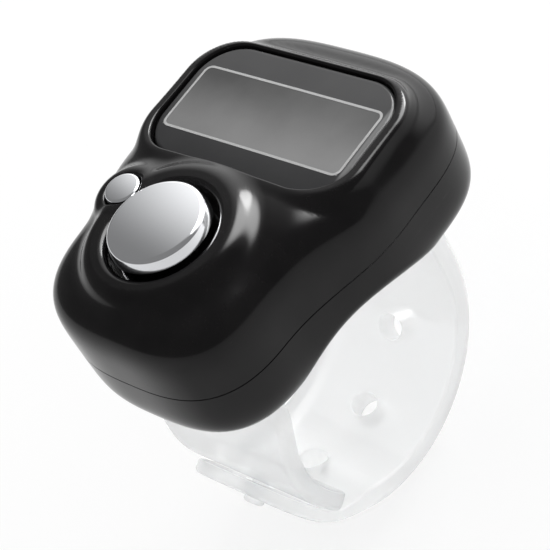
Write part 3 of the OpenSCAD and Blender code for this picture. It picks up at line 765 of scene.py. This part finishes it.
# The window's colour: a cloudy grey display area with painted shading that pales it towards the buttons
# and the right, a dark border with painted shading that darkens it towards the buttons, and a painted
# highlight for the pale light that the clear plate catches along its right-hand edge.
lens_mat, t, b = material("smoked_lens", Roughness=0.14, IOR=1.49, Specular_IOR_Level=0.12)
place, cloud = object_noise(t, 160, 4)
sep = t.nodes.new("ShaderNodeSeparateXYZ")
t.links.new(place, sep.inputs[0])
x, y = sep.outputs["X"], math_node(t, "SUBTRACT", sep.outputs["Y"], LINE_Y * MM)
far_x, far_y = math_node(t, "ABSOLUTE", x), math_node(t, "ABSOLUTE", y)
cloudy = math_node(t, "MULTIPLY", cloud, 0.35)
# painted shading: the display area pales towards the buttons and to the right, on top of its random
# cloudiness
slope = math_node(t, "ADD", fade(t, y, -AREA_Y * MM, AREA_Y * MM, 0.5, 0.0),
                  fade(t, x, -10 * MM, 10 * MM, 0.0, 0.16))
display_cloud_and_painted_shade = ramp_node(t, math_node(t, "ADD", cloudy, slope), (0.15, grey(0.068)), (0.85, grey(0.225)))
# painted shading: the border darkens towards the buttons, on top of its random cloudiness
border = ramp_node(t, math_node(t, "ADD", cloudy, fade(t, y, -6.5 * MM, 6.5 * MM, 0.0, 0.65)),
                   (0.15, (0.03, 0.03, 0.031)), (0.85, (0.072, 0.072, 0.073)))
area = math_node(t, "MULTIPLY", math_node(t, "LESS_THAN", far_x, AREA_X * MM),
                 math_node(t, "LESS_THAN", far_y, AREA_Y * MM))
# painted highlight: a pale band along the lens's right-hand edge, standing in for the light the clear plate
# catches
painted_edge_highlight = math_node(t, "MULTIPLY", fade(t, x, 10.3 * MM, 10.6 * MM), fade(t, x, 10.9 * MM, 11.15 * MM, 1.0, 0.0))
painted_edge_highlight = math_node(t, "MULTIPLY", painted_edge_highlight, fade(t, far_y, 3.2 * MM, 5.0 * MM, 0.8, 0.0))
t.links.new(blend_colour(t, painted_edge_highlight, blend_colour(t, area, border, display_cloud_and_painted_shade), grey(0.2)), b.inputs["Base Color"])

print_mat, t, b = material("white_print", Base_Color=(0.36, 0.36, 0.36, 1), Roughness=0.45)
noise_bump(t, b, 3000, 0.2, 0.00001)

lens = make_lens()
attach(lens, "case")
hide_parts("lens")
line = make_line()
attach(line, "case")
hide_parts("lens_outline")


# Straps: bands along a path in the Y-Z plane. A point of a band has a plan (path length, X) and a
# height off the path.
class Path:
    """Line through dense points, with the outward normal on its left."""

    def __init__(self, pts):
        p = np.array(pts, float)
        self.p = p[np.r_[True, np.linalg.norm(np.diff(p, axis=0), axis=1) > 1e-6]]
        self.s = run_length(self.p)
        self.length = self.s[-1]

    def at(self, s):
        return np.c_[np.interp(s, self.s, self.p[:, 0]), np.interp(s, self.s, self.p[:, 1])]

    def frame(self, s, e=0.12):
        t = unit(self.at(np.clip(s + e, 0, self.length)) - self.at(np.clip(s - e, 0, self.length)))
        return t, np.c_[-t[:, 1], t[:, 0]]

    def where(self, q):
        """Path length of the path point nearest to q."""
        return self.s[np.argmin(np.linalg.norm(self.p - q, axis=1))]


def polar(r, a):
    """Point or points at radius r and angle a in degrees."""
    a = np.radians(a)
    return np.stack([r * np.cos(a), r * np.sin(a)], axis=-1)


def band_outline(L, half_w, start_r, end_r, spacing=0.4, e=0.1):
    """Plan outline of a band with round corners, evenly spaced, and its outward directions."""
    w0, w1 = half_w(np.array([0.0, L]))
    side = np.linspace(start_r, L - end_r, 400)
    turn = np.radians(np.linspace(0, 90, 30))
    start = np.c_[start_r - start_r * np.sin(turn[::-1]), w0 - start_r + start_r * np.cos(turn[::-1])]
    end = np.c_[L - end_r + end_r * np.sin(turn), w1 - end_r + end_r * np.cos(turn)]
    half = np.vstack([start, np.c_[side, half_w(side)], end])
    outline = Path(np.vstack([half, half[::-1] * (1, -1), half[:1]]))
    around = outline.length
    u = np.linspace(0, around, int(around / spacing), endpoint=False)
    line = outline.at(u)
    d = unit(outline.at((u + e) % around) - outline.at((u - e) % around))
    out = np.c_[-d[:, 1], d[:, 0]]
    return line, out if (out[:, 1] * line[:, 1]).sum() > 0 else -out


def band(name, path, half_w, half_t, start_r, end_r, holes):
    """Moulded strap. half_w(s) and half_t(s) are its half width and half thickness, holes are places
    along the path, and the hooked root is the end with the smaller corner radius."""
    m = Mesh()
    L = path.length

    def from_root(s):
        return s if start_r < end_r else L - s

    def offsets(s):
        """Heights of the inner and the outer face."""
        k = half_t(s)
        return -k - HOOK * smooth((HOOK_L - from_root(s)) / 0.1), k

    def face_height(s, sign):
        return offsets(s)[1 if sign > 0 else 0]

    def at(q, h):
        _, n = path.frame(q[:, 0])
        return np.c_[q[:, 1], path.at(q[:, 0]) + n * h[:, None]]

    def vec(s, ds, dx, dn):
        t, n = path.frame(s)
        return unit(np.c_[dx, t * ds[:, None] + n * dn[:, None]])

    def rounding(line, out, R, sign, steps):
        """Rings from a wall at line over its rounded edge: ids, normals and plan of each."""
        rings = []
        for a in np.radians(np.linspace(0, 90, steps)):
            q = line - out * (R * (1 - math.cos(a)))[:, None]
            h = face_height(q[:, 0], sign) - sign * R * (1 - math.sin(a))
            N = vec(q[:, 0], *(out.T * math.cos(a)), np.full(len(q), sign * math.sin(a)))
            rings.append((m.points(at(q, h)), N, q))
        for (a, na, _), (b, nb, _) in zip(rings, rings[1:]):
            m.strip(a, b, na, nb)
        return rings

    line, out = band_outline(L, half_w, start_r, end_r)
    lo, hi = offsets(line[:, 0])
    grid = np.array([(s, x) for s in np.arange(0.4, L, 0.42) for x in np.arange(-8.4, 8.41, 0.7)])
    walls = {}
    for sign, share, most, steps in ((1, 0.36, math.inf, 7), (-1, 0.12, 0.3, 4)):
        R = np.minimum((hi - lo) * share, ROOT_ROUND + ROOT_GROWTH * from_root(line[:, 0]))
        R = np.minimum(R, most)
        edges = [rounding(line, out, R, sign, steps)]
        for s in holes:
            rim, away = circle((s, 0.0), HOLE_R, 72)
            edges.append(rounding(rim, -away, np.full(len(rim), HOLE_ROUND), sign, 4))
        border, *bores = (rings[-1][2] for rings in edges)
        ok = inside_all(grid, border, bores) & (gap_to(grid, border) > 0.2)
        for bore in bores:
            ok &= gap_to(grid, bore) > 0.12
        q, tri, order = sheet_cdt(border, bores, grid[ok])
        s, e = q[:, 0], 0.1
        P = at(q, face_height(s, sign))
        slope = (face_height(s + e, sign) - face_height(s - e, sign)) / (2 * e)
        N = vec(s, -slope * sign, np.zeros(len(q)), np.full(len(q), float(sign)))
        ids = m.points(P)
        ids[order] = np.concatenate([rings[-1][0] for rings in edges])
        m.sheet(P, ids, N, tri)
        walls[sign] = [rings[0] for rings in edges]
    for (a, na, _), (b, nb, _) in zip(walls[1], walls[-1]):
        m.strip(a, b, na, nb)
    return m.build(name, strap_mat)


strap_mat, t, b = material("milky_vinyl", Base_Color=(0.975, 0.99, 1.0, 1), Roughness=0.4, IOR=1.5,
                           Transmission_Weight=0.82, Alpha=0.5, Subsurface_Weight=0.3,
                           Subsurface_Radius=(0.9, 1.0, 1.0), Subsurface_Scale=0.002)
noise_bump(t, b, 700, 0.08)

# Rear strap: down from its slot, round the loop, and out over the front strap as a straight tail
rear_r = LOOP_R + REAR_T
stem = [(SLOTS[0][0], z) for z in np.linspace(12.5, 0.7, 60)]
a = np.linspace(3, STUD_A, 640)
curve = polar(rear_r + (TAIL_R - rear_r) * smooth((RISE_A - a) / (RISE_A - RISE_END_A)), a)
ahead = polar(1.0, STUD_A - 90)
tail = polar(TAIL_R, STUD_A) + np.linspace(0.05, 3.0, 40)[:, None] * ahead
rear_path = Path(np.vstack([stem, curve, tail]))
rise_s, rise_end_s = (rear_path.where(curve[np.argmin(abs(a - v))]) for v in (RISE_A, RISE_END_A))


def thinning(s):
    return smooth((s - rise_s) / (rise_end_s - rise_s))


def rear_width(s):
    return STRAP_W - (STRAP_W - TAIL_W) * thinning(s)


def rear_thick(s):
    return REAR_T - (REAR_T - TAIL_T) * thinning(s)


holes = [rear_path.where(polar(rear_r, v)) for v in HOLES_A]
holes.append(rear_path.where(polar(TAIL_R, STUD_A)))
rear = band("strap_rear_band", rear_path, rear_width, rear_thick, 0.3, 3.0, holes)
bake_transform(rear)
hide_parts("rear_strap", "strap_tail")

# Front strap: round the loop from under the tail, then in a smooth bend up into its slot
front_r = LOOP_R + FRONT_T
root = np.array([SLOTS[1][0], 8.0])
low = polar(front_r, -188.0)
reach = 2.2
k = np.linspace(0, 1, 80)[1:, None]
bend = ((1 - k) ** 3 * low + 3 * k * (1 - k) ** 2 * (low + reach * polar(1.0, 82.0))
        + 3 * k ** 2 * (1 - k) * (root - (0, reach)) + k ** 3 * root)
stem = [(root[0], z) for z in np.linspace(8.05, 12.5, 40)]
front_path = Path(np.vstack([polar(front_r, np.linspace(-143, -188, 180)), bend, stem]))
front = band("strap_front_band", front_path, even(STRAP_W), even(FRONT_T), 0.8, 0.3, [])
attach(front, "case")
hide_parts("front_strap")

# Stud on the front strap: foot, fillet, neck and mushroom head, as heights from the loop's middle
w = np.array([0, *polar(1.0, STUD_A)])
stud_run = [flat(0, 12.7, 0.95, 12.7, -1), flat(0.95, 12.7, 0.95, 13.2, -1), arc(0.95, 13.4, -0.2, 90, 0, 4),
            flat(0.75, 13.4, 0.75, 14.62, -1), flat(0.75, 14.62, 0.88, 14.74, -1),
            arc(0.88, 14.86, 0.12, -90, 0, 4), arc(0.62, 14.97, 0.38, 0, 80, 6),
            [(0.68, 15.345, 0.17, 0.98), (0.3, 15.35, 0.05, 1), (0, 15.35, 0, 1)]]
stud = lathe("strap_stud", stud_run, ((1, 0, 0), np.cross(w, (1, 0, 0)), w), np.zeros(3), 72, strap_mat)
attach(stud, "case")
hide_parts("front_strap")

# Materials of the inner nodes, which keep their own meshes
inner = {
    "gasket": mottled("foam_tape", grey(0.02), grey(0.05), 2600, 0.8, bump=0.4),
    "display_glass": mottled("display_glass", (0.55, 0.6, 0.58), (0.62, 0.66, 0.64), 300, 0.06,
                             bump=0.0, alpha=0.35),
    "polariser": mottled("polariser_film", (0.15, 0.16, 0.15), (0.19, 0.2, 0.19), 500, 0.2, bump=0.02),
    "white_plastic": mottled("natural_moulding", (0.7, 0.7, 0.66), (0.78, 0.78, 0.75), 600, 0.45),
    "connector_rubber": mottled("striped_rubber", (0.62, 0.3, 0.36), (0.8, 0.5, 0.56), 1800, 0.6, bump=0.3),
    "board": mottled("solder_mask", (0.008, 0.11, 0.04), (0.015, 0.17, 0.06), 900, 0.3),
    "resin": mottled("epoxy_blob", grey(0.006), (0.014, 0.013, 0.012), 400, 0.25, bump=0.2),
    "components": mottled("chip_parts", (0.2, 0.15, 0.1), (0.36, 0.29, 0.2), 1500, 0.5),
    "switch_plastic": mottled("switch_body", grey(0.03), grey(0.06), 900, 0.5, bump=0.2),
    "cell_steel": mottled("cell_can", (0.55, 0.55, 0.54), (0.68, 0.68, 0.67), 1200, 0.25, 1.0, 0.05),
    "contact_metal": mottled("spring_bronze", (0.6, 0.5, 0.3), (0.72, 0.63, 0.42), 1200, 0.3, 1.0, 0.05),
    "screw_steel": mottled("zinc_screw", grey(0.42), (0.6, 0.6, 0.58), 2000, 0.35, 1.0, 0.15),
}
for part in frame["record"]["subparts"]:
    if part["material_slot"] in inner:
        mesh = nodes[part["node"]].data
        mesh.materials.clear()
        mesh.materials.append(inner[part["material_slot"]])

# Camera, fitted to the photograph
IMAGE_PX, FOCAL_PX, SENSOR = 550, 2039.34, 36.0
cam_data = bpy.data.cameras.new("camera")
cam = bpy.data.objects.new("camera", cam_data)
bpy.context.scene.collection.objects.link(cam)
azimuth, elevation, roll = (math.radians(v) for v in (60.0, 43.9, -30.7))
level = np.array([math.cos(azimuth), math.sin(azimuth), 0])
back = np.array([math.sin(azimuth) * math.cos(elevation), -math.cos(azimuth) * math.cos(elevation),
                 math.sin(elevation)])
upright = np.cross(back, level)
right = math.cos(roll) * level + math.sin(roll) * upright
over = -math.sin(roll) * level + math.cos(roll) * upright
spot = np.array([113.4845, -64.9785, 136.3645]) * MM
cam.matrix_world = Matrix((*zip(right, over, back, spot), (0, 0, 0, 1)))
cam_data.sensor_width = SENSOR
cam_data.lens = FOCAL_PX / IMAGE_PX * SENSOR
cam_data.clip_start = 0.01
bpy.context.scene.camera = cam
bpy.context.scene.view_settings.view_transform = "Standard"


def rays(t, *names):
    """1 for any of the named kinds of ray, and 0 for the others."""
    lp = t.nodes.new("ShaderNodeLightPath")
    out = lp.outputs[names[0]]
    for n in names[1:]:
        out = math_node(t, "MAXIMUM", out, lp.outputs[n])
    return out


# Studio light: an even surround, in which gloss and metal see a soft gradient and a broad glow
# from above the display end; the camera sees white
world = bpy.data.worlds.new("world")
bpy.context.scene.world = world
world.use_nodes = True
t = world.node_tree
bg = t.nodes["Background"]
bg.inputs["Color"].default_value = (1, 1, 1, 1)
sky = t.nodes.new("ShaderNodeTexCoord").outputs["Generated"]


def toward(direction, c0, c1, v0, v1):
    """Strength that goes smoothly from v0 to v1 as the cosine to a direction goes from c0 to c1."""
    dot = t.nodes.new("ShaderNodeVectorMath")
    dot.operation = "DOT_PRODUCT"
    dot.inputs[1].default_value = Vector(direction).normalized()
    t.links.new(sky, dot.inputs[0])
    return fade(t, dot.outputs["Value"], c0, c1, v0, v1)


def choose(factor, a, b):
    """a where the factor is 0, b where it is 1."""
    n = t.nodes.new("ShaderNodeMix")
    for i, v in ((0, factor), (2, a), (3, b)):
        if isinstance(v, float):
            n.inputs[i].default_value = v
        else:
            t.links.new(v, n.inputs[i])
    return n.outputs[0]


studio = math_node(t, "ADD", toward((-0.0842, 0.9623, 0.2588), 0.44, 0.94, 0.24, 2.3),
                   toward((0.12, 0.71, 0.69), 0.89, 0.985, 0.0, 17.0))
strength = choose(rays(t, "Is Glossy Ray"), 0.85, studio)
t.links.new(choose(rays(t, "Is Camera Ray", "Is Transmission Ray"), strength, 1.0), bg.inputs["Strength"])

# Floor: white to the camera, with the object's soft shadow on it
FLOOR_HALF, FLOOR_Z = 3, -0.01475
me = bpy.data.meshes.new("floor")
corners = ((-1, -1), (1, -1), (1, 1), (-1, 1))
me.from_pydata([(sx * FLOOR_HALF, sy * FLOOR_HALF, FLOOR_Z) for sx, sy in corners], [], [(0, 1, 2, 3)])
floor = bpy.data.objects.new("floor", me)
bpy.context.scene.collection.objects.link(floor)
floor_mat = bpy.data.materials.new("white_floor")
floor_mat.use_nodes = True
t = floor_mat.node_tree
t.nodes.clear()
out = t.nodes.new("ShaderNodeOutputMaterial")
paper = t.nodes.new("ShaderNodeBsdfDiffuse")
paper.inputs["Color"].default_value = (0.85, 0.85, 0.85, 1)
glow = t.nodes.new("ShaderNodeEmission")
glow.inputs["Strength"].default_value = 1.0
mixer = t.nodes.new("ShaderNodeMixShader")
seen = math_node(t, "MULTIPLY", rays(t, "Is Camera Ray"), 0.75)
t.links.new(math_node(t, "MAXIMUM", seen, rays(t, "Is Transmission Ray")), mixer.inputs["Fac"])
t.links.new(paper.outputs["BSDF"], mixer.inputs[1])
t.links.new(glow.outputs["Emission"], mixer.inputs[2])
t.links.new(mixer.outputs["Shader"], out.inputs["Surface"])
me.materials.append(floor_mat)


def softbox(name, azimuth, elevation, distance, width, height, power):
    d = bpy.data.lights.new(name, "AREA")
    d.shape, d.size, d.size_y, d.energy = "RECTANGLE", width, height, power
    ob = bpy.data.objects.new(name, d)
    bpy.context.scene.collection.objects.link(ob)
    a, e = math.radians(azimuth), math.radians(elevation)
    v = Vector((math.cos(a) * math.cos(e), math.sin(a) * math.cos(e), math.sin(e)))
    ob.location = v * distance
    ob.rotation_euler = v.to_track_quat("Z", "Y").to_euler()


softbox("key_softbox", 92, 30, 0.5, 0.22, 0.10, 1.7)
